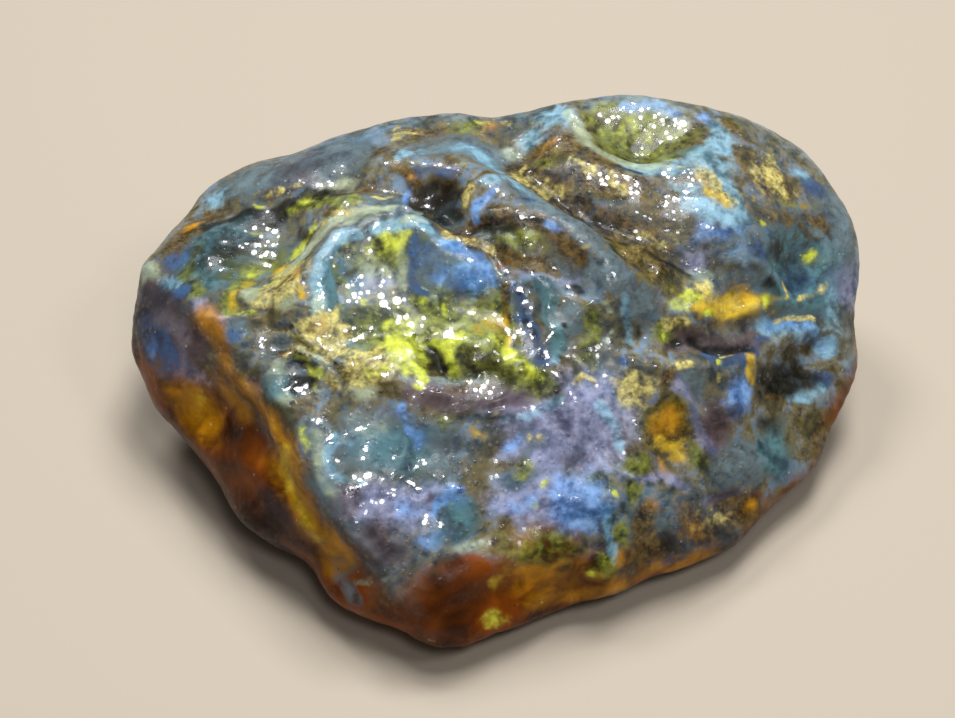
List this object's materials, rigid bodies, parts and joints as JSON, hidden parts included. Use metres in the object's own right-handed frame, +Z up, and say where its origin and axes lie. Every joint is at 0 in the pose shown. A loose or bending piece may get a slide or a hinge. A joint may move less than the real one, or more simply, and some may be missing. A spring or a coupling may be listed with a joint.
{
  "type": "rough amber",
  "caption": "Rough lump of see-through blue amber with a knobbly, pitted, weathered film, resting on a flat facet of its own, for display or as a desk specimen.",
  "frame": {"origin": "middle of the lump's footprint box, on the plane of the flat facet that it rests on", "axes": "+X along the lump's longest way, +Y from its low pointed end to the high back, +Z up from the rest facet"},
  "size_m": [0.0558, 0.0424, 0.0213],
  "materials": {
    "amber": "see-through golden-brown fossil resin under a glossy, broken film of milky blue, teal and olive"
  },
  "bodies": {
    "root": {"amber": "amber"}
  },
  "joints": []
}
